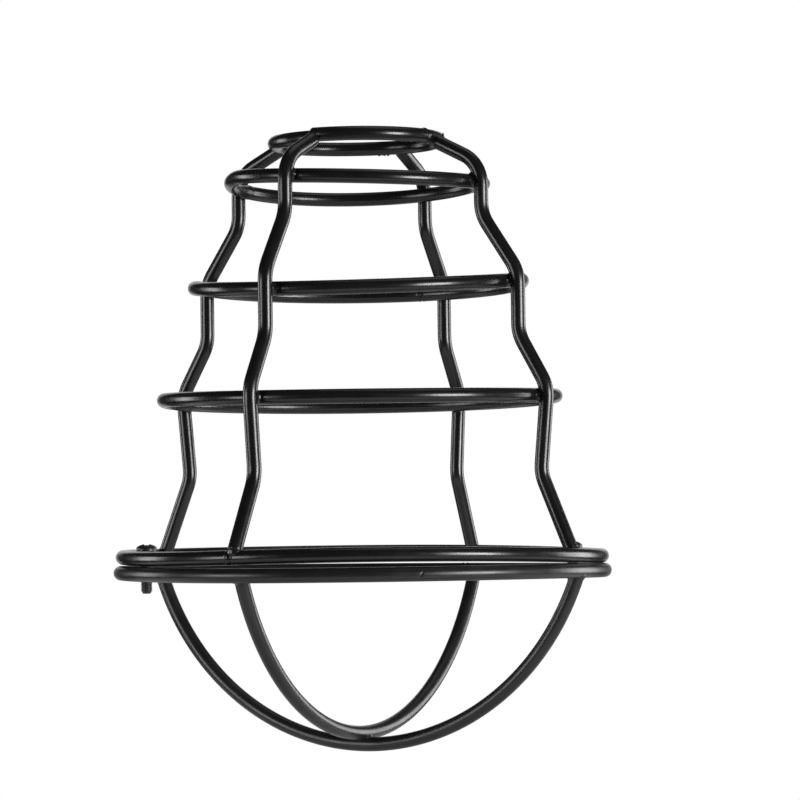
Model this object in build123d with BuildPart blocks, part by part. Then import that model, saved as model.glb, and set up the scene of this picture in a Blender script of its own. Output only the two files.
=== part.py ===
from build123d import *
import os
from math import acos, asin, atan, cos, degrees, radians, sin, sqrt

# Lampshade of welded round steel wire. A tapering cage of five rings and four bent
# struts hangs from the lampholder by its top ring. Under it a guard, one ring with two
# crossed bows, is held by two machine screws that stand in lugs inside the rings.
# Millimetres, +Z up, origin at the centre of the top ring. The struts stand on the X
# and Y axes and the screws midway between them.

# Wire and rings
wire = 4.0
wireRadius = wire / 2
topRadius = 23.8
neckRadius = 36.7
neckHeight = -11.6
shoulderRadius = 47.6
shoulderHeight = -41.3
waistRadius = 56.9
waistHeight = -74.7
rimRadius = 69.5
rimHeight = -120.8
guardOverhang = 1.0
guardRadius = rimRadius + guardOverhang
guardDrop = 4.2

# What hand work left uneven: the step where the top ring's wire ends meet, rings that
# lean about the X axis, and rings whose two halves droop or rise from a line across
# them, which runs through the screws in the two rings that the screws hold together
topStep = 1.2
topSeamAzimuth = -88.0
neckLean = -0.8
neckRise = -2.1
neckFoldAzimuth = 51.0
shoulderLean = 1.4
shoulderRise = -2.4
shoulderFoldAzimuth = 20.0
waistLean = -0.3
waistRise = -1.0
waistFoldAzimuth = 33.0
rimLean = -1.2
rimRise = 1.1
guardRise = -0.6

# Struts: their azimuths and how far each foot is spread. Then what the four share, from
# the cut end at the top ring down to the rim: how far the wire's centre line stands from
# each ring's, and the heights of the bends
strutAzimuths = {"front_right": 0.0, "back_right": 90.0, "back_left": 180.0, "front_left": 270.0}
frontLeftSpread = 1.6
backRightSpread = 0.3
backLeftSpread = -0.4
strutEndOffset = 1.6
legSlope = 0.52
neckBend = 9.7
neckStandOff = 4.0
shoulderStandOff = 4.5
waistStandOff = 4.1
slopeStart = -23.1
slopeEnd = -39.8
waistStart = -57.6
waistEnd = -72.8
narrowing = 2.3
flareStart = -97.2
bendRadius = 11.0
footInset = 1.4
footHeight = 1.4

# Guard bows: depth of the outer one, how much higher the inner one crosses it, how far
# inside the guard ring's centre line their arcs reach its height, how far the inner one
# sits off centre, and how far below that height the wire is cut
outerBowDepth = 50.2
bowSpacing = 3.6
outerBowInset = 0.4
innerBowInset = 1.8
innerBowShift = 1.0
bowEndDrop = 0.8

# Lugs and screws
lugWidth = 9.0
lugThickness = 2.0
screwAzimuths = {"left": 225.0, "right": 45.0}
screwInset = 5.2
screwRadius = rimRadius - screwInset
screwSize = 3.0
clearance = 0.2
screwLength = 12.0
headDiameter = 5.8
headEdge = 0.9
headHeight = 2.3
recessLength = 3.4
recessWidth = 0.9
recessDepth = 1.4

# Weld beads, half their length along the ring and half their thickness. The one at a
# strut's cut end sits just outside the top ring's centre line
endBeadOffset = 0.2
crossingBead = (3.6, 2.4)
endBead = (3.2, 2.3)
footBead = (3.0, 2.1)
bowBead = (3.0, 2.3)

os.makedirs("parts", exist_ok=True)

topPlane = Plane.XY
neckPlane = Plane.XY.offset(neckHeight).rotated((neckLean, 0, 0))
shoulderPlane = Plane.XY.offset(shoulderHeight).rotated((shoulderLean, 0, 0))
waistPlane = Plane.XY.offset(waistHeight).rotated((waistLean, 0, 0))
rimPlane = Plane.XY.offset(rimHeight).rotated((rimLean, 0, 0))
guardPlane = rimPlane.offset(-guardDrop)
screwLineAzimuth = screwAzimuths["right"]


def save(name, part):
    """Labels a finished piece and writes its file."""
    part.label = name
    export_step(part, "parts/" + name + ".step")


def outward(plane, azimuth):
    """The direction in a ring's plane that runs out at an azimuth."""
    angle = radians(azimuth)
    return plane.x_dir * cos(angle) + plane.y_dir * sin(angle)


def tangentPlane(plane, azimuth, radius, height=0.0):
    """A plane at a point of a ring: x runs along the wire and z points outwards."""
    out = outward(plane, azimuth)
    point = plane.origin + out * radius + plane.z_dir * height
    return Plane(origin=point, x_dir=plane.z_dir.cross(out), z_dir=out)


def uprightPlane(plane, azimuth):
    """The plane through a ring's axis: x runs out at an azimuth and y runs up."""
    out = outward(plane, azimuth)
    return Plane(origin=plane.origin, x_dir=out, z_dir=out.cross(plane.z_dir))


# Rings of the cage

def steppedRing(plane, radius, seamAzimuth, step):
    """A round whose wire climbs, so that its two ends meet one above the other."""
    climb = asin(step / 4 / radius)
    seamSide = outward(plane, seamAzimuth)
    rising = seamSide * cos(climb) + plane.z_dir * sin(climb)
    falling = plane.z_dir * sin(climb) - seamSide * cos(climb)
    across = plane.z_dir.cross(seamSide)
    with BuildPart() as ring:
        for start, direction, turn in ((step / 4, rising, across), (-step / 4, falling, -across)):
            origin = plane.origin + plane.z_dir * start
            with BuildSketch(Plane(origin + direction * radius, direction, -turn)):
                Circle(wireRadius)
            revolve(axis=Axis(origin, direction.cross(turn)), revolution_arc=180)
    return ring.part


def foldedRing(plane, radius, rise, foldAzimuth):
    """A round whose two halves rise from a line across it, or droop if rise is negative."""
    tilt = atan(rise / radius)
    foldLine = outward(plane, foldAzimuth)
    across = plane.z_dir.cross(foldLine)
    tiltedUp = plane.z_dir * cos(tilt) - across * sin(tilt)
    foldPlane = Plane(plane.origin, foldLine, across)
    with BuildPart(Plane(plane.origin, foldLine, tiltedUp)) as ring:
        Torus(radius, wireRadius)
        split(bisect_by=foldPlane, keep=Keep.TOP)
        mirror(about=foldPlane)
    return ring.part


def foldHeight(rise, foldAzimuth, azimuth):
    """How far a folded ring's centre line stands over its plane at an azimuth."""
    return rise * abs(sin(radians(azimuth - foldAzimuth)))


rings = {
    "top_ring": steppedRing(topPlane, topRadius, topSeamAzimuth, topStep),
    "neck_ring": foldedRing(neckPlane, neckRadius, neckRise, neckFoldAzimuth),
    "shoulder_ring": foldedRing(shoulderPlane, shoulderRadius, shoulderRise, shoulderFoldAzimuth),
    "waist_ring": foldedRing(waistPlane, waistRadius, waistRise, waistFoldAzimuth),
    "rim_ring": foldedRing(rimPlane, rimRadius, rimRise, screwLineAzimuth),
    "guard_ring": foldedRing(guardPlane, guardRadius, guardRise, screwLineAzimuth),
}
for ringName, ringPart in rings.items():
    save(ringName, ringPart)


# Weld beads

def weldBead(plane, size):
    """A round-ended bar of weld metal that lies along the plane's x."""
    halfLength, halfThickness = size
    barrel = halfLength - halfThickness
    with BuildPart(Plane(plane.origin, plane.z_dir, plane.x_dir)) as bead:
        Cylinder(halfThickness, 2 * barrel)
        with Locations((0, 0, -barrel), (0, 0, barrel)):
            Sphere(halfThickness)
    return bead.part


# Struts, each bent in one upright plane and welded to the outside of the rings

def strutPath(azimuth, spread):
    """Radius and height of the bends of one strut, with the bend radii."""
    topOut = topRadius + strutEndOffset
    neckOut = neckRadius + neckStandOff
    shoulderOut = shoulderRadius + shoulderStandOff
    waistOut = waistRadius + waistStandOff
    legDrop = (neckOut - topOut) * legSlope
    footOver = footHeight + foldHeight(rimRise, screwLineAzimuth, azimuth)
    rimPoint = tangentPlane(rimPlane, azimuth, rimRadius, footOver).origin
    points = [
        (topOut, 0),
        (neckOut, -legDrop),
        (neckOut, slopeStart),
        (shoulderOut, slopeEnd),
        (shoulderOut, waistStart),
        (waistOut, waistEnd),
        (waistOut - narrowing, flareStart),
        (rimRadius - footInset + spread, rimPoint.Z),
    ]
    return points, [neckBend] + [bendRadius] * 5


def strut(azimuth, spread):
    """One bent strut with its weld beads, cut where it meets the rings."""
    points, bends = strutPath(azimuth, spread)
    with BuildPart() as part:
        with BuildLine(uprightPlane(topPlane, azimuth)) as path:
            FilletPolyline(*points, radius=bends)
        centreLine = path.wires()[0]
        with BuildSketch(Plane(centreLine @ 0, z_dir=centreLine % 0)):
            Circle(wireRadius)
        sweep(path=centreLine)
        neckOver = foldHeight(neckRise, neckFoldAzimuth, azimuth)
        shoulderOver = foldHeight(shoulderRise, shoulderFoldAzimuth, azimuth)
        waistOver = foldHeight(waistRise, waistFoldAzimuth, azimuth)
        rimOver = foldHeight(rimRise, screwLineAzimuth, azimuth)
        beadSpots = [
            (topPlane, topRadius + endBeadOffset, 0, endBead),
            (neckPlane, neckRadius + neckStandOff / 2, neckOver, crossingBead),
            (shoulderPlane, shoulderRadius + shoulderStandOff / 2, shoulderOver, crossingBead),
            (waistPlane, waistRadius + waistStandOff / 2, waistOver, crossingBead),
            (rimPlane, rimRadius - footInset + spread, wireRadius + rimOver, footBead),
        ]
        for ringPlane, radius, height, size in beadSpots:
            add(weldBead(tangentPlane(ringPlane, azimuth, radius, height), size))
        for ringPart in rings.values():
            add(ringPart, mode=Mode.SUBTRACT)
    return part.part


footSpreads = {
    "front_right": 0.0,
    "back_right": backRightSpread,
    "back_left": backLeftSpread,
    "front_left": frontLeftSpread,
}
for strutName, strutAzimuth in strutAzimuths.items():
    save("strut_" + strutName, strut(strutAzimuth, footSpreads[strutName]))


# Guard bows, two arcs that cross under the lamp and end at the guard ring's underside

def bow(azimuth, depth, inset, shift):
    """One bow, an arc through the guard ring's height, with a weld bead at each end."""
    halfSpan = guardRadius - inset
    bowRadius = (halfSpan**2 + depth**2) / (2 * depth)
    centre = bowRadius - depth
    ringOver = foldHeight(guardRise, screwLineAzimuth, azimuth)
    halfAngle = degrees(acos((centre + bowEndDrop - ringOver) / bowRadius))
    endRadius = bowRadius * sin(radians(halfAngle))
    with BuildPart() as part:
        with BuildLine(uprightPlane(guardPlane, azimuth)) as path:
            CenterArc((shift, centre), bowRadius, 270 - halfAngle, 2 * halfAngle)
        centreLine = path.wires()[0]
        with BuildSketch(Plane(centreLine @ 0, z_dir=centreLine % 0)):
            Circle(wireRadius)
        sweep(path=centreLine)
        for side, reach in ((azimuth, endRadius + shift), (azimuth + 180, endRadius - shift)):
            add(weldBead(tangentPlane(guardPlane, side, reach, ringOver - wireRadius), footBead))
        add(rings["guard_ring"], mode=Mode.SUBTRACT)
    return part.part


outerBow = bow(0.0, outerBowDepth, outerBowInset, 0.0)
innerDepth = outerBowDepth - bowSpacing
crossing = Plane(
    guardPlane.origin
    + guardPlane.y_dir * innerBowShift
    - guardPlane.z_dir * (innerDepth + bowSpacing / 2),
    x_dir=guardPlane.y_dir,
    z_dir=guardPlane.z_dir,
)
with BuildPart() as innerBow:
    add(bow(90.0, innerDepth, innerBowInset, innerBowShift))
    add(weldBead(crossing, bowBead))
    add(outerBow, mode=Mode.SUBTRACT)
save("guard_bow_outer", outerBow)
save("guard_bow_inner", innerBow.part)


# Lugs, flat tabs welded inside the rings at mid height

def lug(plane, ringRadius, ringPart, azimuth, holeRadius):
    """One lug with a round inner end about its hole."""
    out = outward(plane, azimuth)
    reach = ringRadius - screwRadius
    lugPlane = Plane(plane.origin + out * screwRadius, out, plane.z_dir)
    with BuildPart() as part:
        with BuildSketch(lugPlane):
            Circle(lugWidth / 2)
            with Locations((reach / 2, 0)):
                Rectangle(reach, lugWidth)
            Circle(holeRadius, mode=Mode.SUBTRACT)
        extrude(amount=lugThickness / 2, both=True)
        add(ringPart, mode=Mode.SUBTRACT)
    return part.part


# Screws, pan headed with a cross recess. The thread is drawn as its outer diameter

def screw(azimuth):
    """One screw, standing in its two lugs with the head up."""
    seat = rimPlane.origin + outward(rimPlane, azimuth) * screwRadius
    seat = seat + rimPlane.z_dir * lugThickness / 2
    seatPlane = Plane(seat, outward(rimPlane, azimuth), rimPlane.z_dir)
    profilePlane = Plane(seat, seatPlane.x_dir, seatPlane.x_dir.cross(seatPlane.z_dir))
    headRadius = headDiameter / 2
    domeRise = headHeight - headEdge
    domeRadius = (headRadius**2 + domeRise**2) / (2 * domeRise)
    halfWay = headRadius / 2
    domePoint = (halfWay, headHeight - domeRadius + sqrt(domeRadius**2 - halfWay**2))
    with BuildPart() as part:
        with BuildSketch(profilePlane):
            with BuildLine():
                Polyline(
                    (0, headHeight),
                    (0, -screwLength),
                    (screwSize / 2, -screwLength),
                    (screwSize / 2, 0),
                    (headRadius, 0),
                    (headRadius, headEdge),
                )
                ThreePointArc((headRadius, headEdge), domePoint, (0, headHeight))
            make_face()
        revolve(axis=Axis(seat, seatPlane.z_dir))
        with BuildSketch(seatPlane.offset(headHeight)):
            Rectangle(recessLength, recessWidth)
            Rectangle(recessWidth, recessLength)
        extrude(amount=-recessDepth, mode=Mode.SUBTRACT)
    return part.part


for side, screwAzimuth in screwAzimuths.items():
    rimLug = lug(rimPlane, rimRadius, rings["rim_ring"], screwAzimuth, screwSize / 2 + clearance)
    guardLug = lug(guardPlane, guardRadius, rings["guard_ring"], screwAzimuth, screwSize / 2)
    save("rim_lug_" + side, rimLug)
    save("guard_lug_" + side, guardLug)
    save("screw_" + side, screw(screwAzimuth))
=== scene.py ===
import math

import bmesh
import bpy
import numpy as np
from mathutils import Matrix


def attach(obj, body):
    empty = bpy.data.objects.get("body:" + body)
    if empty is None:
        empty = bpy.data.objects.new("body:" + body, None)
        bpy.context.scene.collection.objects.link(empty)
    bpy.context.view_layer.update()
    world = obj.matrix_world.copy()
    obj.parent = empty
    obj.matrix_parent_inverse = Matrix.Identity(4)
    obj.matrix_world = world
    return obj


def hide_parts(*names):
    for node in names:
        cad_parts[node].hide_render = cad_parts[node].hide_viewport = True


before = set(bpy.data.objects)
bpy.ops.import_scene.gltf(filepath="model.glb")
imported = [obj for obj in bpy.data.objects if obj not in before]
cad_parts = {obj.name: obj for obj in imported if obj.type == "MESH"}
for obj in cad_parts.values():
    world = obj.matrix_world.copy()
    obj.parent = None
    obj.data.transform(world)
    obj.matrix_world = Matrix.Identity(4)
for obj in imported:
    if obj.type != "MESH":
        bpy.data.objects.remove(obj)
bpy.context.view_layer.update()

mm = 0.001
wireRadius = 2.06
mergeDistance = 1e-8
origin = np.zeros(3)
straightUp = np.array([0.0, 0.0, 1.0])
print("frame loaded,", len(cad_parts), "nodes")


# Mesh helpers

def gridFaces(rows, turns):
    # quads of a grid that is closed around and open along, row by row
    row, turn = np.meshgrid(np.arange(rows - 1), np.arange(turns), indexing="ij")
    nextTurn = (turn + 1) % turns
    quads = np.stack([row * turns + turn, row * turns + nextTurn,
                      (row + 1) * turns + nextTurn, (row + 1) * turns + turn], -1)
    return quads.reshape(-1, 4)


def closedLoop(faces, rows, turns):
    # the quads that join the last row of a grid to its first
    turn = np.arange(turns)
    nextTurn = (turn + 1) % turns
    last = (rows - 1) * turns
    joined = np.stack([last + turn, last + nextTurn, nextTurn, turn], -1)
    return np.concatenate([faces, joined])


def makePiece(name, parts, material, nodes):
    # joins grids into one mesh, merges the points of each pole and hands it to the frame
    points = []
    quads = []
    count = 0
    for vertices, faces in parts:
        points.append(vertices.reshape(-1, 3) * mm)
        quads.append(faces + count)
        count += len(points[-1])
    mesh = bpy.data.meshes.new(name)
    mesh.from_pydata(np.concatenate(points).tolist(), [], np.concatenate(quads).tolist())
    mesh.validate()
    piece = bpy.data.objects.new(name, mesh)
    bpy.context.scene.collection.objects.link(piece)
    work = bmesh.new()
    work.from_mesh(mesh)
    bmesh.ops.remove_doubles(work, verts=work.verts, dist=mergeDistance)
    bmesh.ops.dissolve_degenerate(work, edges=work.edges, dist=mergeDistance / 10)
    bmesh.ops.recalc_face_normals(work, faces=work.faces)
    work.to_mesh(mesh)
    work.free()
    mesh.polygons.foreach_set("use_smooth", np.ones(len(mesh.polygons), bool))
    mesh.materials.append(material)
    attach(piece, "root")
    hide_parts(*nodes)


def smoothStep(low, high, value):
    # eases from 0 at the low value to 1 at the high one: three squares less two cubes
    share = np.clip((value - low) / (high - low), 0, 1)
    return share * share * (3 - 2 * share)


def turnFrom(place, azimuth):
    # degrees from a place to an azimuth, the short way round
    return (azimuth - place + 180) % 360 - 180


def softMin(first, second, width):
    # the lesser of two distances, rounded off where they are within a width of each other
    share = np.clip(0.5 + 0.5 * (second - first) / width, 0, 1)
    return second * (1 - share) + first * share - width * share * (1 - share)


rippleShape = {"waves": 6, "seedTurn": 1.7, "waveTurn": 2.4, "seedLift": 2.3, "waveLift": 1.1,
               "finest": 0.6, "coarser": 0.25, "seedPhase": 3.1, "evenOut": 3.2}


def ripple(points, scale, seed):
    # a smooth uneven field between about -1 and 1, the sum of a few slanted waves
    s = rippleShape
    total = np.zeros(points.shape[:-1])
    for wave in range(s["waves"]):
        angle = seed * s["seedTurn"] + wave * s["waveTurn"]
        lift = math.sin(seed * s["seedLift"] + wave * s["waveLift"])
        flat = math.sqrt(1 - lift * lift)
        direction = np.array([flat * math.cos(angle), flat * math.sin(angle), lift])
        pitch = scale * (s["finest"] + s["coarser"] * wave)
        total += np.sin(points @ direction * (2 * math.pi / pitch) + seed * s["seedPhase"] + wave)
    return total / s["evenOut"]


# Rings: millimetres and degrees. A ring leans about the X axis and rolls about the Y axis,
# and its two halves rise from the fold line, or droop where the rise is negative. The two
# big rings wave instead, with a cosine and a sine part of two turns and of three, and sag at
# one azimuth, with a spread and a depth. Grooves and beads mark where wire ends were joined,
# and the top ring's ends meet at its seam, one above and one below
ringSettings = {
    "topRing": {"node": "top_ring", "radius": 23.86, "height": 0.0, "lean": 0.0, "roll": 0.0,
                "rise": 0.0, "fold": 0.0, "seam": -91.0, "grooves": (), "beads": ((-6.2, 0.28),),
                "above": 0.17, "below": 0.6},
    "neckRing": {"node": "neck_ring", "radius": 36.64, "height": -11.51, "lean": -0.77, "roll": -0.26,
                 "rise": -2.17, "fold": 50.9, "grooves": (183.0,)},
    "shoulderRing": {"node": "shoulder_ring", "radius": 47.54, "height": -41.29, "lean": 1.44,
                     "roll": -0.23, "rise": -2.49, "fold": 20.2, "grooves": (96.0,)},
    "waistRing": {"node": "waist_ring", "radius": 56.83, "height": -74.71, "lean": -0.26,
                  "roll": 0.18, "rise": -1.03, "fold": 33.0, "grooves": (185.5,)},
    "rimRing": {"node": "rim_ring", "radius": 69.4, "shift": (0.17, 0.10), "height": -120.15,
                "lean": -0.92, "roll": 0.03, "rise": 0.0, "fold": 0.0,
                "waves": (-0.2, -0.43, -0.05, -0.13), "sag": (252.0, 30.0, 0.4),
                "grooves": (-90.9,), "beads": ((-91.9, 0.16),)},
    "guardRing": {"node": "guard_ring", "radius": 70.1, "shift": (0.2, 0.12), "height": -125.12,
                  "lean": -1.05, "roll": 0.21, "rise": 0.0, "fold": 0.0,
                  "waves": (0.11, 0.06, 0.06, -0.04), "sag": (255.0, 32.0, 0.25),
                  "grooves": (93.0,)},
}
grooveShape = {"depth": 0.22, "width": 0.26, "ridge": 0.09, "ridgePlace": 0.6, "ridgeWidth": 0.3}
foldSoftness = 0.003
ringMesh = {"turns": 44, "closeReach": 2.2, "closeSamples": 55, "openTurn": 359.999, "endBevel": 0.35}


def ringFrame(ring):
    # the ring's centre and its three directions, x first
    lean = math.radians(ring["lean"])
    roll = math.radians(ring["roll"])
    ahead = np.array([math.cos(roll), 0.0, math.sin(roll)])
    sideways = np.array([0.0, math.cos(lean), math.sin(lean)])
    sideways = sideways - ahead * (ahead @ sideways)
    sideways = sideways / np.linalg.norm(sideways)
    centre = np.array([*ring.get("shift", (0.0, 0.0)), ring["height"]])
    return centre, ahead, sideways, np.cross(ahead, sideways)


def ringHeight(ring, azimuth):
    # the centre line over the ring's plane: rise times the sine's size, or waves of two and
    # three turns less a bell-shaped sag. The top ring's far end sinks from above to below
    # over its last half turn
    fold = np.radians(azimuth - ring["fold"])
    height = ring["rise"] * np.sqrt(np.sin(fold) ** 2 + foldSoftness)
    if "waves" in ring:
        angle = np.radians(azimuth)
        second = ring["waves"][0] * np.cos(2 * angle) + ring["waves"][1] * np.sin(2 * angle)
        third = ring["waves"][2] * np.cos(3 * angle) + ring["waves"][3] * np.sin(3 * angle)
        place, spread, depth = ring["sag"]
        height = height + second + third - depth * np.exp(-(turnFrom(place, azimuth) / spread) ** 2)
    if "seam" in ring:
        turned = ((azimuth - ring["seam"]) % 360) / 360
        height = height + ring["above"] - (ring["above"] + ring["below"]) * smoothStep(0.5, 1, turned)
    return height


def ringLine(ring, azimuth):
    # a circle in the ring's plane, lifted by ringHeight
    centre, ahead, sideways, upward = ringFrame(ring)
    angle = np.radians(azimuth)
    outward = np.cos(angle)[..., None] * ahead + np.sin(angle)[..., None] * sideways
    return centre + outward * ring["radius"] + ringHeight(ring, azimuth)[..., None] * upward, outward


def grooveDepth(ring, azimuth):
    # a bell-shaped groove between two low ridges, or a bell-shaped bead that stands out
    depth = np.zeros(np.shape(azimuth))
    for place in ring["grooves"]:
        along = np.abs(np.radians(turnFrom(place, azimuth))) * ring["radius"]
        ridge = (along - grooveShape["ridgePlace"]) / grooveShape["ridgeWidth"]
        depth += grooveShape["depth"] * np.exp(-(along / grooveShape["width"]) ** 2)
        depth -= grooveShape["ridge"] * np.exp(-ridge ** 2)
    for place, height in ring.get("beads", ()):
        along = np.radians(turnFrom(place, azimuth)) * ring["radius"]
        depth -= height * np.exp(-(along / grooveShape["width"]) ** 2)
    return depth


def ringDistance(ring, points):
    # how far points lie outside the ring's wire
    centre, ahead, sideways, upward = ringFrame(ring)
    away = points - centre
    along = away @ ahead
    across = away @ sideways
    azimuth = np.degrees(np.arctan2(across, along))
    height = away @ upward - ringHeight(ring, azimuth)
    distance = np.hypot(np.hypot(along, across) - ring["radius"], height) - wireRadius
    return distance + grooveDepth(ring, azimuth)


def tube(line, radius, turns, closed, outward=None, side=None):
    # a circle carried along a line, in the plane that the tangent is square to: its side
    # direction is given, or is the cross of the tangent and the outward one
    tangent = np.gradient(line, axis=0)
    if closed:
        tangent = np.roll(line, -1, 0) - np.roll(line, 1, 0)
    tangent /= np.linalg.norm(tangent, axis=1)[:, None]
    if side is None:
        side = np.cross(tangent, outward)
    side = side / np.linalg.norm(side, axis=1)[:, None]
    facing = np.cross(side, tangent)
    angle = np.arange(turns) * 2 * math.pi / turns
    circle = np.cos(angle)[None, :, None] * facing[:, None]
    circle = circle + np.sin(angle)[None, :, None] * side[:, None]
    return line[:, None] + circle * radius[..., None], tangent


def buildRing(name, material, dents=()):
    # wire round a full turn, sampled closely at its grooves and dents
    ring = ringSettings[name]
    start = ring.get("seam", 0.0)
    reach = ringMesh["closeReach"]
    close = np.linspace(-reach, reach, ringMesh["closeSamples"]) / ring["radius"] * 180 / math.pi
    places = list(ring["grooves"]) + [dent["azimuth"] for dent in dents]
    places += [bead[0] for bead in ring.get("beads", ())]
    samples = [np.arange(0.0, 360.0)] + [(close + place - start) % 360 for place in places]
    turned = np.unique(np.round(np.concatenate(samples), 4))
    isOpen = "seam" in ring
    azimuth = turned + start
    if isOpen:
        azimuth = np.concatenate([azimuth, [start + ringMesh["openTurn"]]])
    line, outward = ringLine(ring, azimuth)
    turns = ringMesh["turns"]
    radius = np.full((len(azimuth), turns), wireRadius) - grooveDepth(ring, azimuth)[:, None]
    angle = np.arange(turns) * 360 / turns
    for dent in dents:
        along = np.radians(turnFrom(dent["azimuth"], azimuth)) * ring["radius"]
        around = np.radians(turnFrom(dent["around"], angle)) * wireRadius
        shape = (along[:, None] + dent["slant"] * around[None, :]) / dent["width"]
        radius -= dent["depth"] * np.exp(-shape ** 2 - (around[None, :] / dent["length"]) ** 2)
    vertices, tangent = tube(line, radius, turns, not isOpen, outward=outward)
    rows = len(azimuth)
    if isOpen:
        vertices = capped(vertices, line, tangent, wireRadius, ringMesh["endBevel"])
        faces = gridFaces(len(vertices), turns)
    else:
        faces = closedLoop(gridFaces(rows, turns), rows, turns)
    makePiece(name, [(vertices, faces)], material, [ring["node"]])


# Weld metal

weldShape = {"fillet": 1.5, "bulge": 0.16, "bulgeReach": 2.6, "roughness": 0.06, "pitch": 1.5,
             "press": 2.7, "rows": 44, "turns": 64, "samples": 70, "nearest": 0.05}


def rays(rows, turns):
    # unit directions on a sphere, by polar angle and azimuth
    polar = np.linspace(0, math.pi, rows)
    angle = np.arange(turns) * 2 * math.pi / turns
    return np.stack([np.sin(polar)[:, None] * np.cos(angle)[None],
                     np.sin(polar)[:, None] * np.sin(angle)[None],
                     np.repeat(np.cos(polar)[:, None], turns, 1)], -1)


def weldBlob(centre, field, holdsTo, endsAt, seed):
    # a surface seen from the joint's centre: along each ray, the place where the field,
    # the softened distance to both wires, turns from inside to outside. Past the reach that
    # it holds to, it is pressed back into the wires. The seed picks its roughness
    ray = rays(weldShape["rows"], weldShape["turns"])
    reach = np.linspace(weldShape["nearest"], endsAt, weldShape["samples"])
    points = centre + ray[:, :, None] * reach[None, None, :, None]
    value = field(points)
    value = value - weldShape["bulge"] * np.exp(-(reach / weldShape["bulgeReach"]) ** 2)
    value = value + weldShape["roughness"] * ripple(points, weldShape["pitch"], seed)
    value = value + weldShape["press"] * smoothStep(holdsTo, endsAt, reach)
    outside = value > 0
    first = np.clip(np.argmax(outside, axis=2), 1, None)
    here = np.take_along_axis(value, first[..., None], 2)[..., 0]
    before = np.take_along_axis(value, first[..., None] - 1, 2)[..., 0]
    share = np.clip(-before / np.maximum(here - before, 1e-6), 0, 1)
    radius = reach[first - 1] + share * (reach[first] - reach[first - 1])
    return centre + ray * radius[..., None], gridFaces(weldShape["rows"], weldShape["turns"])


dropShape = {"rows": 12, "turns": 18, "swell": 0.22, "pitch": 1.6}


def weldDrop(centre, size, seed):
    # a drop of spatter: an ellipsoid with an uneven skin
    ray = rays(dropShape["rows"], dropShape["turns"])
    swell = 1 + dropShape["swell"] * ripple(ray, dropShape["pitch"], seed)
    vertices = centre + ray * np.array(size) * swell[..., None]
    return vertices, gridFaces(dropShape["rows"], dropShape["turns"])


def polylineDistance(points, line):
    # the least distance from points to the segments of a plane line
    best = np.full(points.shape[:-1], np.inf)
    for start, end in zip(line[:-1], line[1:]):
        run = end - start
        share = np.clip(((points - start) @ run) / (run @ run), 0, 1)
        best = np.minimum(best, np.linalg.norm(points - start - share[..., None] * run, axis=-1))
    return best


# Struts, each bent in one upright plane: radius and height of the bends, as in the frame

strutSettings = {
    "azimuth": {"front_right": 0.0, "back_right": 90.0, "back_left": 180.0, "front_left": 270.0},
    "spread": {"front_right": 0.0, "back_right": 0.3, "back_left": -0.4, "front_left": 1.6},
    "topDrop": {"front_right": 1.75, "back_right": 0.0, "back_left": 0.55, "front_left": 1.3},
    "legDrop": {"front_right": 8.5, "back_right": 7.96, "back_left": 8.2, "front_left": 7.96},
    "topOut": {"front_right": 27.0, "back_right": 25.4, "back_left": 25.4, "front_left": 25.4},
    "neckOut": 40.7, "shoulderOut": 52.1, "waistOut": 61.0,
    "slopeStart": -23.1, "slopeEnd": -39.8, "waistStart": -57.6, "waistEnd": -72.8,
    "narrowing": 2.3, "flareStart": -97.2, "footInset": 1.4,
    "footHeight": {"front_right": 1.4, "back_right": 1.4, "back_left": 1.4, "front_left": 2.0},
    "neckBend": 9.7, "bend": 11.0, "turns": 40, "spacing": 0.9, "endBevel": 0.3,
    # how far each weld reaches, and where its middle lies between ring and strut
    "welds": {"topRing": (1.6, 0.5), "neckRing": (1.9, 0.5), "shoulderRing": (1.9, 0.5),
              "waistRing": (1.9, 0.5), "rimRing": (1.5, 0.8)},
    "weldFade": 2.2, "nearby": 8.0,
}

# Spatter by two of the top joints: azimuth on the top ring and angle round its wire in
# degrees, then how far off the wire's surface and out from the ring it sits
spatterSettings = {
    "back_right": [
        {"azimuth": 97.5, "around": -70, "off": -0.15, "out": 0.0, "size": (0.45, 0.4, 0.5)},
        {"azimuth": 99.8, "around": -82, "off": -0.05, "out": 0.0, "size": (0.4, 0.4, 0.35)},
        {"azimuth": 101.5, "around": -64, "off": -0.1, "out": 0.0, "size": (0.35, 0.3, 0.4)},
        {"azimuth": 103.6, "around": -80, "off": -0.1, "out": 0.0, "size": (0.4, 0.45, 0.35)},
        {"azimuth": 106.5, "around": -30, "off": -0.15, "out": 0.0, "size": (0.3, 0.3, 0.3)},
    ],
    "front_right": [
        {"azimuth": 0.4, "around": 2, "off": -0.1, "out": 2.7, "size": (0.3, 0.3, 0.65)},
    ],
}


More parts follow.
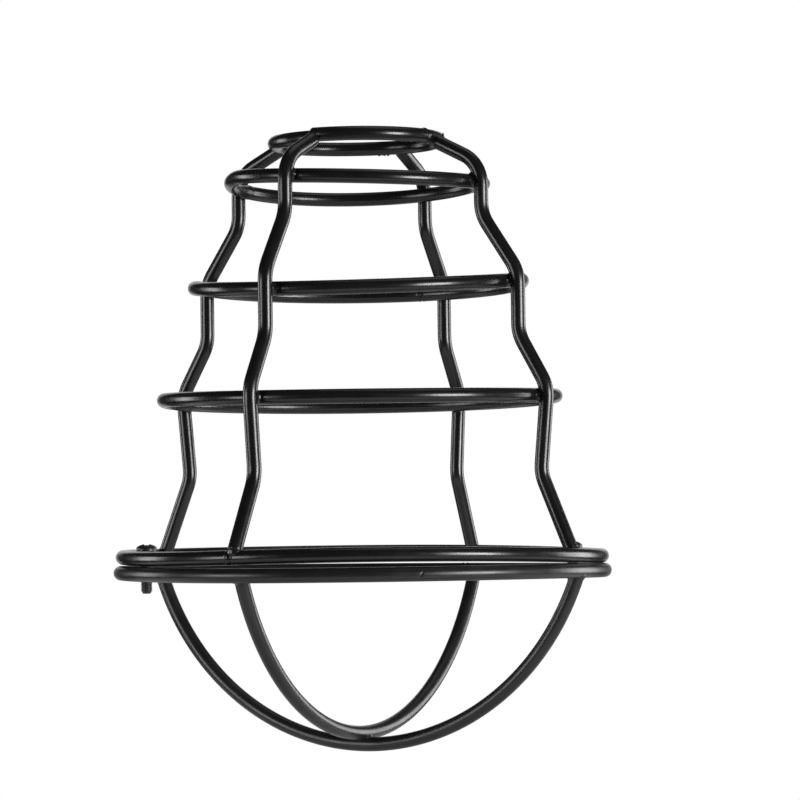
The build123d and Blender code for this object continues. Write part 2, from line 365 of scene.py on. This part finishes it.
def bentLine(corners, bends, spacing):
    # straight runs joined by arcs that touch both runs, sampled about evenly
    corners = np.array(corners, float)
    samples = [corners[0]]
    for index in range(1, len(corners) - 1):
        before = corners[index - 1] - corners[index]
        after = corners[index + 1] - corners[index]
        before /= np.linalg.norm(before)
        after /= np.linalg.norm(after)
        half = math.acos(np.clip(before @ after, -1, 1)) / 2
        cut = bends[index - 1] / math.tan(half)
        middle = (before + after) / np.linalg.norm(before + after) * bends[index - 1] / math.sin(half)
        centre = corners[index] + middle
        first = corners[index] + before * cut - centre
        last = corners[index] + after * cut - centre
        turn = math.atan2(first[0] * last[1] - first[1] * last[0], first @ last)
        steps = max(3, int(abs(turn) * bends[index - 1] / spacing))
        angle = np.linspace(0, turn, steps)
        arc = np.stack([first[0] * np.cos(angle) - first[1] * np.sin(angle),
                        first[0] * np.sin(angle) + first[1] * np.cos(angle)], -1)
        start = samples[-1]
        run = centre + arc[0] - start
        parts = max(1, int(np.linalg.norm(run) / spacing))
        samples.extend(start + run * k / parts for k in range(1, parts))
        samples.extend(centre + arc)
    start = samples[-1]
    run = corners[-1] - start
    parts = max(1, int(np.linalg.norm(run) / spacing))
    samples.extend(start + run * k / parts for k in range(1, parts + 1))
    return np.array(samples)


def capped(vertices, line, tangent, radius, bevel):
    # closes both ends of a tube with a flat cut whose edge is a little round
    turn = np.linspace(0, math.pi / 2, 5)[1:]
    ends = []
    for index, sign in ((0, -1), (-1, 1)):
        circle = (vertices[index] - line[index]) / radius
        rows = [line[index] + tangent[index] * sign * bevel * math.sin(t)
                + circle * (radius - bevel + bevel * math.cos(t)) for t in turn]
        rows.append(line[index] + tangent[index] * sign * bevel + 0 * circle)
        ends.append(rows)
    return np.concatenate([np.array(ends[0][::-1]), vertices, np.array(ends[1])])


def strutLine(name):
    # the bends of one strut, down to where its foot stands on the rim ring
    s = strutSettings
    azimuth = s["azimuth"][name]
    rim = ringSettings["rimRing"]
    centre, ahead, sideways, upward = ringFrame(rim)
    angle = math.radians(azimuth)
    outward = math.cos(angle) * ahead + math.sin(angle) * sideways
    over = s["footHeight"][name] + float(ringHeight(rim, np.array(azimuth)))
    foot = centre + outward * rim["radius"] + upward * over
    corners = [
        (s["topOut"][name], -s["topDrop"][name]), (s["neckOut"], -s["legDrop"][name]),
        (s["neckOut"], s["slopeStart"]), (s["shoulderOut"], s["slopeEnd"]),
        (s["shoulderOut"], s["waistStart"]), (s["waistOut"], s["waistEnd"]),
        (s["waistOut"] - s["narrowing"], s["flareStart"]),
        (rim["radius"] - s["footInset"] + s["spread"][name], foot[2]),
    ]
    return bentLine(corners, [s["neckBend"]] + [s["bend"]] * 5, s["spacing"])


def planeFrame(azimuth, upward):
    # the directions out along the plane at an azimuth and square to it
    angle = math.radians(azimuth)
    sideways = np.cross(upward, (1.0, 0.0, 0.0))
    sideways = sideways / np.linalg.norm(sideways)
    outward = np.cross(sideways, upward) * math.cos(angle) + sideways * math.sin(angle)
    return outward, np.cross(outward, upward)


def planeLine(flat, azimuth, centre=origin, upward=straightUp):
    # puts a line of radius and height into the upright plane at an azimuth
    outward = planeFrame(azimuth, upward)[0]
    return centre + flat[:, :1] * outward + flat[:, 1:] * upward


def wireDistance(points, flat, azimuth, centre=origin, upward=straightUp):
    # how far points lie outside a wire that is bent in one plane
    outward, side = planeFrame(azimuth, upward)
    away = points - centre
    inPlane = np.stack([away @ outward, away @ upward], -1)
    return np.hypot(polylineDistance(inPlane, flat), away @ side) - wireRadius


def bentWire(flat, azimuth, turns, bevel, centre=origin, upward=straightUp):
    # the wire along a line in one plane, both ends cut flat, and its centre line
    line = planeLine(flat, azimuth, centre, upward)
    side = planeFrame(azimuth, upward)[1]
    radius = np.full((len(flat), turns), wireRadius)
    vertices, tangent = tube(line, radius, turns, False, side=np.repeat(side[None], len(flat), 0))
    vertices = capped(vertices, line, tangent, wireRadius, bevel)
    return vertices, gridFaces(len(vertices), turns), line


def nearby(flat, place, reach):
    # the stretch of a plane line within reach of a place, for quicker distances
    close = np.linalg.norm(flat - np.array(place), axis=1) < reach
    return flat[close]


def jointAt(flat, ring, azimuth):
    # the strut's point nearest to a ring, in the plane of the strut
    point = ringLine(ring, np.array([azimuth]))[0][0]
    place = np.array([np.linalg.norm(point[:2]), point[2]])
    nearest = flat[np.argmin(np.linalg.norm(flat - place, axis=1))]
    return place, nearest


def buildStrut(name, material):
    # a bent wire with weld metal at each ring, and spatter where a top joint has some
    s = strutSettings
    azimuth = s["azimuth"][name]
    flat = strutLine(name)
    parts = [bentWire(flat, azimuth, s["turns"], s["endBevel"])[:2]]
    for number, (ringName, (reach, share)) in enumerate(s["welds"].items()):
        ring = ringSettings[ringName]
        place, nearest = jointAt(flat, ring, azimuth)
        middle = place + (nearest - place) * share
        centre = planeLine(middle[None], azimuth)[0]
        local = nearby(flat, middle, s["nearby"])

        def field(points, ring=ring, local=local):
            strutAway = wireDistance(points, local, azimuth)
            return softMin(ringDistance(ring, points), strutAway, weldShape["fillet"])

        parts.append(weldBlob(centre, field, reach, reach + s["weldFade"], azimuth / 50 + number))
    for drop in spatterSettings.get(name, ()):
        ring = ringSettings["topRing"]
        start, facing = ringLine(ring, np.array([drop["azimuth"]]))
        lift = math.radians(drop["around"])
        reach = wireRadius + drop["off"]
        spot = start[0] + facing[0] * (reach * math.cos(lift) + drop["out"])
        spot = spot + straightUp * reach * math.sin(lift)
        parts.append(weldDrop(spot, drop["size"], drop["azimuth"]))
    makePiece("strut_" + name + "_wire", parts, material, ["strut_" + name])


# Bows of the guard: arcs through the guard ring's height, crossing under the lamp

bowSettings = {
    "outer": {"azimuth": 0.0, "depth": 49.93, "inset": 0.4, "shift": 0.0},
    "inner": {"azimuth": 90.0, "depth": 46.6, "inset": 1.8, "shift": 1.0},
    "endDrop": 0.8, "turns": 40, "spacing": 0.8, "endBevel": 0.3,
    "endWeld": (1.8, 3.3), "crossingWeld": (2.2, 4.0), "weldSink": 0.8, "nearby": 9.0,
}


def bowLine(bow):
    # one arc, cut where it reaches the underside of the guard ring
    guard = ringSettings["guardRing"]
    halfSpan = guard["radius"] - bow["inset"]
    bowRadius = (halfSpan ** 2 + bow["depth"] ** 2) / (2 * bow["depth"])
    centre = bowRadius - bow["depth"]
    over = float(ringHeight(guard, np.array(bow["azimuth"])))
    halfAngle = math.acos((centre + bowSettings["endDrop"] - over) / bowRadius)
    steps = int(2 * halfAngle * bowRadius / bowSettings["spacing"])
    angle = np.linspace(-halfAngle, halfAngle, steps)
    return np.stack([bow["shift"] + bowRadius * np.sin(angle), centre - bowRadius * np.cos(angle)], -1)


def buildBow(name, material):
    # an arc of wire with weld metal at both ends, and where it crosses the outer bow
    s = bowSettings
    guard = ringSettings["guardRing"]
    centre, ahead, sideways, upward = ringFrame(guard)
    bow = s[name]
    flat = bowLine(bow)
    vertices, faces, line = bentWire(flat, bow["azimuth"], s["turns"], s["endBevel"], centre, upward)
    parts = [(vertices, faces)]
    for number, end in enumerate((0, -1)):
        azimuth = bow["azimuth"] + (180 if end == 0 else 0)
        ringPoint = ringLine(guard, np.array([azimuth]))[0][0]
        middle = ringPoint + (line[end] - ringPoint) * 0.5 - upward * s["weldSink"]
        local = nearby(flat, flat[end], s["nearby"])

        def field(points, local=local):
            bowAway = wireDistance(points, local, bow["azimuth"], centre, upward)
            return softMin(ringDistance(guard, points), bowAway, weldShape["fillet"])

        parts.append(weldBlob(middle, field, *s["endWeld"], bow["azimuth"] / 30 + number + 7))
    if name == "inner":
        outer = s["outer"]
        outerFlat = bowLine(outer)
        low = centre - upward * (bow["depth"] + outer["depth"]) / 2 + sideways * bow["shift"]
        innerLocal = nearby(flat, (bow["shift"], -bow["depth"]), s["nearby"])
        outerLocal = nearby(outerFlat, (0.0, -outer["depth"]), s["nearby"])

        def crossing(points):
            innerAway = wireDistance(points, innerLocal, bow["azimuth"], centre, upward)
            outerAway = wireDistance(points, outerLocal, outer["azimuth"], centre, upward)
            return softMin(innerAway, outerAway, weldShape["fillet"])

        parts.append(weldBlob(low, crossing, *s["crossingWeld"], 21.0))
    makePiece("guard_bow_" + name + "_wire", parts, material, ["guard_bow_" + name])


# Lugs and screws

lugSettings = {"width": 9.0, "thickness": 2.0, "hole": 1.7, "edge": 0.25, "turns": 96,
               "screwRadius": {"left": 63.85, "right": 64.3}, "azimuth": {"left": 225.0, "right": 45.0},
               "weld": (2.2, 4.4), "fillet": 1.3}


def buildLug(name, ringName, side, material):
    # a plate: the outline seen from the hole runs round the inner end and straight to the
    # ring. Its section goes up the bore, out over the top, down the edge and back below
    s = lugSettings
    ring = ringSettings[ringName]
    centre, ahead, sideways, upward = ringFrame(ring)
    azimuth = s["azimuth"][side]
    angle = math.radians(azimuth)
    outward = math.cos(angle) * ahead + math.sin(angle) * sideways
    sideAxis = np.cross(upward, outward)
    middle = centre + outward * s["screwRadius"][side]
    reach = ring["radius"] - s["screwRadius"][side]
    half = s["width"] / 2
    turns = s["turns"]
    around = np.arange(turns) * 2 * math.pi / turns
    flat = np.stack([np.cos(around), np.sin(around)], -1)
    toEnd = reach / np.maximum(flat[:, 0], 1e-6)
    toSide = half / np.maximum(np.abs(flat[:, 1]), 1e-6)
    edge = np.where(flat[:, 0] > 0, np.minimum(toEnd, toSide), half)
    bevel = s["edge"]
    thick = s["thickness"] / 2
    bends = [(bevel * math.sin(t), thick - bevel + bevel * math.cos(t))
             for t in np.linspace(0, math.pi / 2, 4)]
    bore = [(flat * (s["hole"] + bevel - across), height) for across, height in bends]
    upper = [(flat * (edge[:, None] - bevel + across), height) for across, height in bends]
    lower = [(shape, -height) for shape, height in upper[::-1]]
    boreBelow = [(shape, -height) for shape, height in bore]
    section = bore[::-1] + upper + lower + boreBelow
    vertices = np.array([middle + shape[:, :1] * outward + shape[:, 1:] * sideAxis + height * upward
                         for shape, height in section])
    parts = [(vertices, closedLoop(gridFaces(len(section), turns), len(section), turns))]
    root = centre + outward * (ring["radius"] - wireRadius)
    root = root + upward * float(ringHeight(ring, np.array(azimuth)))

    def field(points):
        away = points - middle
        plate = np.maximum(np.abs(away @ upward) - thick, np.abs(away @ sideAxis) - half)
        plate = np.maximum(plate, (away @ outward) - reach)
        return softMin(ringDistance(ring, points), plate, s["fillet"])

    parts.append(weldBlob(root, field, *s["weld"], azimuth / 40 + ring["radius"]))
    makePiece(name, parts, material, [name.replace("_plate", "")])


screwSettings = {"radius": 1.62, "threadDepth": 0.22, "threadPower": 2.2, "pitch": 0.5,
                 "length": 12.0, "tipLength": 0.35, "neck": 0.3, "tipTaper": 0.3, "seatLift": 0.3,
                 "headRadius": 2.9, "headEdge": 1.2, "headHeight": 2.3, "headRounding": 0.22,
                 "recessHalf": 1.75, "recessWidth": 0.6, "recessDepth": 0.75, "recessSoft": 0.35,
                 "recessInner": -0.2, "recessOuter": 0.16, "turn": {"left": 12.0, "right": 58.0},
                 "tipRadii": (0.0, 0.9, 1.12), "tipRises": (0.0, 0.0, 0.06), "taperLead": 0.01,
                 "taperRun": 0.5, "turns": 72, "shankRows": 230, "domeRows": 42}


def buildScrew(side, material):
    # a turned profile: the thread is a helical wave on the shank, the recess a cross on the dome
    s = screwSettings
    rim = ringSettings["rimRing"]
    centre, ahead, sideways, upward = ringFrame(rim)
    angle = math.radians(lugSettings["azimuth"][side])
    outward = math.cos(angle) * ahead + math.sin(angle) * sideways
    across = np.cross(upward, outward)
    seat = centre + outward * lugSettings["screwRadius"][side]
    seat = seat + upward * (lugSettings["thickness"] / 2 + s["seatLift"])
    turns = s["turns"]
    around = np.arange(turns) * 2 * math.pi / turns
    shank = np.linspace(-s["length"] + s["tipLength"], -s["neck"], s["shankRows"])
    tipHeight = [-s["length"] + rise for rise in s["tipRises"]]
    radius = np.concatenate([s["tipRadii"], np.full(len(shank), s["radius"]), [s["radius"]]])
    height = np.concatenate([tipHeight, shank, [0.0]])
    edge = np.linspace(0, math.pi / 2, 5)
    rounding = s["headRounding"]
    radius = np.concatenate([radius, s["headRadius"] - rounding + rounding * np.sin(edge)])
    height = np.concatenate([height, rounding - rounding * np.cos(edge)])
    rise = s["headHeight"] - s["headEdge"]
    dome = (s["headRadius"] ** 2 + rise ** 2) / (2 * rise)
    out = s["headRadius"] * np.linspace(1, 0, s["domeRows"])
    radius = np.concatenate([radius, out])
    height = np.concatenate([height, s["headHeight"] - dome + np.sqrt(dome ** 2 - out ** 2)])
    onShank = (height <= shank[-1]) & (height >= shank[0])
    phase = height[:, None] / s["pitch"] - around[None] / (2 * math.pi)
    groove = s["threadDepth"] * (0.5 + 0.5 * np.cos(2 * math.pi * phase)) ** s["threadPower"]
    fade = smoothStep(shank[0] - s["taperLead"], shank[0] + s["taperRun"], height)
    grid = radius[:, None] - np.where(onShank[:, None], groove, 0.0)
    grid = grid - np.where(onShank, s["tipTaper"] * (1 - fade), 0.0)[:, None]
    turn = math.radians(s["turn"][side])
    alongX = grid * np.cos(around[None] + turn)
    alongY = grid * np.sin(around[None] + turn)
    barX = np.maximum(np.abs(alongX) - s["recessHalf"], np.abs(alongY) - s["recessWidth"])
    barY = np.maximum(np.abs(alongY) - s["recessHalf"], np.abs(alongX) - s["recessWidth"])
    walls = softMin(barX, barY, s["recessSoft"])
    inRecess = 1 - smoothStep(s["recessInner"], s["recessOuter"], walls)
    onDome = (np.arange(len(radius)) >= len(radius) - len(out))[:, None]
    tall = height[:, None] - np.where(onDome, s["recessDepth"] * inRecess, 0.0)
    vertices = (seat + (grid * np.cos(around))[..., None] * outward
                + (grid * np.sin(around))[..., None] * across + tall[..., None] * upward)
    makePiece("screw_" + side + "_threaded", [(vertices, gridFaces(len(radius), turns))],
              material, ["screw_" + side])


# Finishes. The noises have a scale and a detail, the bumps a depth in metres, and mottle and
# gloss the two noise values between which they change

noiseSettings = {"mottle": (140, 5), "gloss": (220, 4), "peel": (700, 2), "grain": (3600, 2)}
bumpDepth = {"peel": 0.0004, "grain": 0.00012}
mottleEnds = (0.35, 0.68)
glossEnds = (0.3, 0.7)
paintSettings = {
    "cagePaint": {"dark": (0.006, 0.006, 0.0063), "light": (0.010, 0.010, 0.0105),
                  "roughLow": 0.22, "roughHigh": 0.29, "specular": 0.5, "peel": 0.035, "grain": 0.012},
    "guardPaint": {"dark": (0.010, 0.010, 0.0103), "light": (0.016, 0.016, 0.0165),
                   "roughLow": 0.30, "roughHigh": 0.38, "specular": 0.5, "peel": 0.04, "grain": 0.02},
    "screwPaint": {"dark": (0.010, 0.010, 0.009), "light": (0.030, 0.029, 0.026), "roughLow": 0.28,
                   "roughHigh": 0.42, "specular": 0.6, "peel": 0.03, "grain": 0.03},
}


def paint(name):
    # satin coat: two noises mottle colour and gloss, and two more give the powder's soft
    # orange peel and its grain
    s = paintSettings[name]
    material = bpy.data.materials.new(name)
    material.use_nodes = True
    tree = material.node_tree
    nodes = tree.nodes
    links = tree.links
    shader = nodes["Principled BSDF"]
    shader.inputs["Specular IOR Level"].default_value = s["specular"]
    place = nodes.new("ShaderNodeTexCoord")

    def noise(use):
        node = nodes.new("ShaderNodeTexNoise")
        node.inputs["Scale"].default_value = noiseSettings[use][0]
        node.inputs["Detail"].default_value = noiseSettings[use][1]
        links.new(place.outputs["Object"], node.inputs["Vector"])
        return node.outputs["Fac"]

    def bump(use):
        node = nodes.new("ShaderNodeBump")
        node.inputs["Strength"].default_value = s[use]
        node.inputs["Distance"].default_value = bumpDepth[use]
        links.new(noise(use), node.inputs["Height"])
        return node

    mottle = nodes.new("ShaderNodeValToRGB")
    mottle.color_ramp.elements[0].position = mottleEnds[0]
    mottle.color_ramp.elements[1].position = mottleEnds[1]
    mottle.color_ramp.elements[0].color = (*s["dark"], 1)
    mottle.color_ramp.elements[1].color = (*s["light"], 1)
    links.new(noise("mottle"), mottle.inputs["Fac"])
    links.new(mottle.outputs["Color"], shader.inputs["Base Color"])
    gloss = nodes.new("ShaderNodeMapRange")
    gloss.inputs["From Min"].default_value = glossEnds[0]
    gloss.inputs["From Max"].default_value = glossEnds[1]
    gloss.inputs["To Min"].default_value = s["roughLow"]
    gloss.inputs["To Max"].default_value = s["roughHigh"]
    links.new(noise("gloss"), gloss.inputs["Value"])
    links.new(gloss.outputs["Result"], shader.inputs["Roughness"])
    peel = bump("peel")
    grain = bump("grain")
    links.new(peel.outputs["Normal"], grain.inputs["Normal"])
    links.new(grain.outputs["Normal"], shader.inputs["Normal"])
    return material


cagePaint = paint("cagePaint")
guardPaint = paint("guardPaint")
screwPaint = paint("screwPaint")
print("finishes made")

# A small slanting nick in the guard ring's outer face
guardNick = {"azimuth": -47.6, "around": 20.0, "width": 0.3, "length": 1.0, "depth": 0.25, "slant": 0.5}
for ringName in ("topRing", "neckRing", "shoulderRing", "waistRing", "rimRing"):
    buildRing(ringName, cagePaint)
buildRing("guardRing", guardPaint, [guardNick])
print("rings made")
for strutName in strutSettings["azimuth"]:
    buildStrut(strutName, cagePaint)
print("struts made")
for bowName in ("outer", "inner"):
    buildBow(bowName, guardPaint)
print("bows made")
for side in ("left", "right"):
    buildLug("rim_lug_" + side + "_plate", "rimRing", side, cagePaint)
    buildLug("guard_lug_" + side + "_plate", "guardRing", side, guardPaint)
    buildScrew(side, screwPaint)
print("lugs and screws made")


# Camera, where the photograph was taken from: azimuths and turns in degrees

cameraSettings = {"distance": 1.0, "height": -0.09837, "azimuth": 29.87, "pan": 0.668, "tilt": 1.317,
                  "roll": -0.736, "focalPixels": 3440.0, "imageWidth": 800.0, "sensorWidth": 36.0}


def placeCamera():
    # panned, tilted and rolled from a level look at the object's axis
    s = cameraSettings
    azimuth, pan, tilt, roll = (math.radians(s[key]) for key in ("azimuth", "pan", "tilt", "roll"))
    imageRight = np.array([math.cos(azimuth), math.sin(azimuth), 0])
    away = np.array([-math.sin(azimuth), math.cos(azimuth), 0])
    upright = np.array([0, 0, 1.0])
    right = math.cos(pan) * imageRight - math.sin(pan) * away
    ahead = math.sin(pan) * imageRight + math.cos(pan) * away
    sight = math.cos(tilt) * ahead + math.sin(tilt) * upright
    above = -math.sin(tilt) * ahead + math.cos(tilt) * upright
    pose = np.eye(4)
    pose[:3, 0] = math.cos(roll) * right + math.sin(roll) * above
    pose[:3, 1] = -math.sin(roll) * right + math.cos(roll) * above
    pose[:3, 2] = -sight
    pose[:3, 3] = -s["distance"] * away + np.array([0, 0, s["height"]])
    camera = bpy.data.cameras.new("camera")
    camera.sensor_width = s["sensorWidth"]
    camera.lens = s["focalPixels"] / s["imageWidth"] * s["sensorWidth"]
    holder = bpy.data.objects.new("camera", camera)
    bpy.context.scene.collection.objects.link(holder)
    holder.matrix_world = Matrix(pose.tolist())
    bpy.context.scene.camera = holder


placeCamera()

# Soft lamps. Azimuth is counted from the camera's side, to the right as it sees

lampDistance = 1.1
lampTarget = (0, 0, -0.08)
lampSettings = {
    "keyRight": {"azimuth": 51.5, "height": -0.05, "width": 0.42, "tall": 0.45, "radiance": 20.5},
    "keyLeft": {"azimuth": -64, "height": -0.05, "width": 0.45, "tall": 0.45, "radiance": 6},
    "rimRight": {"azimuth": 117, "height": -0.08, "width": 0.5, "tall": 0.6, "radiance": 6.0},
    "rimLeft": {"azimuth": -114, "height": -0.06, "width": 0.3, "tall": 0.5, "radiance": 5.2},
}
overheadSettings = {"place": (0.1, 0.3, 1.1), "width": 0.8, "tall": 0.8, "radiance": 0.55}


def lampAt(name, place, width, tall, radiance):
    # a panel that faces the object, its power worked out from the radiance of its face
    lamp = bpy.data.lights.new(name, "AREA")
    lamp.shape = "RECTANGLE"
    lamp.size = width
    lamp.size_y = tall
    lamp.energy = radiance * math.pi * width * tall
    holder = bpy.data.objects.new(name, lamp)
    bpy.context.scene.collection.objects.link(holder)
    back = np.array(place) - np.array(lampTarget)
    back = back / np.linalg.norm(back)
    helper = straightUp if abs(back[2]) < 0.95 else np.array([1.0, 0, 0])
    side = np.cross(helper, back)
    side = side / np.linalg.norm(side)
    pose = np.eye(4)
    pose[:3, 0] = side
    pose[:3, 1] = np.cross(back, side)
    pose[:3, 2] = back
    pose[:3, 3] = place
    holder.matrix_world = Matrix(pose.tolist())


for lampName, lamp in lampSettings.items():
    turn = math.radians(cameraSettings["azimuth"] - 90 + lamp["azimuth"])
    spot = (lampDistance * math.cos(turn), lampDistance * math.sin(turn), lamp["height"])
    lampAt(lampName, spot, lamp["width"], lamp["tall"], lamp["radiance"])
lampAt("overhead", *overheadSettings.values())

# Floor, backdrop and world, in metres. The backdrop is an arc as wide as the camera sees

stageSettings = {"floorHeight": -0.30, "floorRadius": 0.42, "colour": (0.85, 0.85, 0.85),
                 "floorTurns": 96, "floorRows": 12, "fadeFrom": 0.1, "fadeLow": 0.2,
                 "backGlow": 1.0, "backRadius": 1.6, "backTurn": 20, "backHeights": (-0.45, 0.75),
                 "backRows": 7, "backColumns": 25, "worldGrey": 0.03}


def stageMaterial(name, glowShare):
    # white to the camera and to reflections, plain pale paint to the lamps' light. Without
    # a share, the white fades out towards the middle, under the object
    material = bpy.data.materials.new(name)
    material.use_nodes = True
    nodes = material.node_tree.nodes
    links = material.node_tree.links
    nodes.clear()
    output = nodes.new("ShaderNodeOutputMaterial")
    mix = nodes.new("ShaderNodeMixShader")
    diffuse = nodes.new("ShaderNodeBsdfDiffuse")
    diffuse.inputs["Color"].default_value = (*stageSettings["colour"], 1)
    glow = nodes.new("ShaderNodeEmission")
    glow.inputs["Color"].default_value = (1, 1, 1, 1)
    path = nodes.new("ShaderNodeLightPath")
    either = nodes.new("ShaderNodeMath")
    either.operation = "MAXIMUM"
    share = nodes.new("ShaderNodeMath")
    share.operation = "MULTIPLY"
    seen = nodes.new("ShaderNodeMath")
    seen.operation = "MAXIMUM"
    links.new(path.outputs["Is Camera Ray"], either.inputs[0])
    links.new(path.outputs["Is Glossy Ray"], either.inputs[1])
    links.new(either.outputs[0], seen.inputs[0])
    links.new(path.outputs["Is Transmission Ray"], seen.inputs[1])
    links.new(seen.outputs[0], share.inputs[0])
    if glowShare is None:
        place = nodes.new("ShaderNodeTexCoord")
        length = nodes.new("ShaderNodeVectorMath")
        length.operation = "LENGTH"
        fade = nodes.new("ShaderNodeMapRange")
        fade.inputs["From Min"].default_value = stageSettings["fadeFrom"]
        fade.inputs["From Max"].default_value = stageSettings["floorRadius"]
        fade.inputs["To Min"].default_value = stageSettings["fadeLow"]
        fade.inputs["To Max"].default_value = 1.0
        links.new(place.outputs["Object"], length.inputs[0])
        links.new(length.outputs["Value"], fade.inputs["Value"])
        links.new(fade.outputs["Result"], share.inputs[1])
    else:
        share.inputs[1].default_value = glowShare
    links.new(share.outputs[0], mix.inputs["Fac"])
    links.new(diffuse.outputs[0], mix.inputs[1])
    links.new(glow.outputs[0], mix.inputs[2])
    links.new(mix.outputs[0], output.inputs["Surface"])
    return material


def stagePiece(name, grid, faces, material, height):
    # a surface that belongs to the studio and not to the part
    mesh = bpy.data.meshes.new(name)
    mesh.from_pydata(grid.reshape(-1, 3).tolist(), [], faces.tolist())
    mesh.materials.append(material)
    piece = bpy.data.objects.new(name, mesh)
    piece.location = (0, 0, height)
    bpy.context.scene.collection.objects.link(piece)


def buildStage():
    # a round floor, and behind it an arc round the object's axis
    s = stageSettings
    turns = s["floorTurns"]
    rows = np.linspace(0, s["floorRadius"], s["floorRows"])
    angle = np.arange(turns) * 2 * math.pi / turns
    grid = np.stack([rows[:, None] * np.cos(angle)[None], rows[:, None] * np.sin(angle)[None],
                     np.zeros((len(rows), turns))], -1)
    faces = gridFaces(len(rows), turns)
    stagePiece("floor", grid, faces, stageMaterial("floorPaint", None), s["floorHeight"])
    columns = s["backColumns"]
    sweep = np.linspace(-s["backTurn"], s["backTurn"], columns) + cameraSettings["azimuth"] + 90
    sweep = np.radians(sweep)
    tall = np.linspace(*s["backHeights"], s["backRows"])
    grid = np.stack([np.repeat(s["backRadius"] * np.cos(sweep)[None], len(tall), 0),
                     np.repeat(s["backRadius"] * np.sin(sweep)[None], len(tall), 0),
                     np.repeat(tall[:, None], columns, 1)], -1)
    row, column = np.meshgrid(np.arange(len(tall) - 1), np.arange(columns - 1), indexing="ij")
    corner = row * columns + column
    faces = np.stack([corner, corner + 1, corner + columns + 1, corner + columns], -1)
    stagePiece("backdrop", grid, faces.reshape(-1, 4), stageMaterial("backdropPaint", s["backGlow"]), 0)


def buildWorld():
    # white to the camera, a dim grey room to everything else
    world = bpy.data.worlds.new("studio")
    bpy.context.scene.world = world
    world.use_nodes = True
    nodes = world.node_tree.nodes
    links = world.node_tree.links
    nodes.clear()
    output = nodes.new("ShaderNodeOutputWorld")
    mix = nodes.new("ShaderNodeMixShader")
    room = nodes.new("ShaderNodeBackground")
    grey = stageSettings["worldGrey"]
    room.inputs["Color"].default_value = (grey, grey, grey, 1)
    white = nodes.new("ShaderNodeBackground")
    white.inputs["Color"].default_value = (1, 1, 1, 1)
    path = nodes.new("ShaderNodeLightPath")
    links.new(path.outputs["Is Camera Ray"], mix.inputs["Fac"])
    links.new(room.outputs[0], mix.inputs[1])
    links.new(white.outputs[0], mix.inputs[2])
    links.new(mix.outputs[0], output.inputs["Surface"])


buildStage()
buildWorld()
bpy.context.scene.view_settings.view_transform = "Standard"
print("camera, lamps and stage placed")
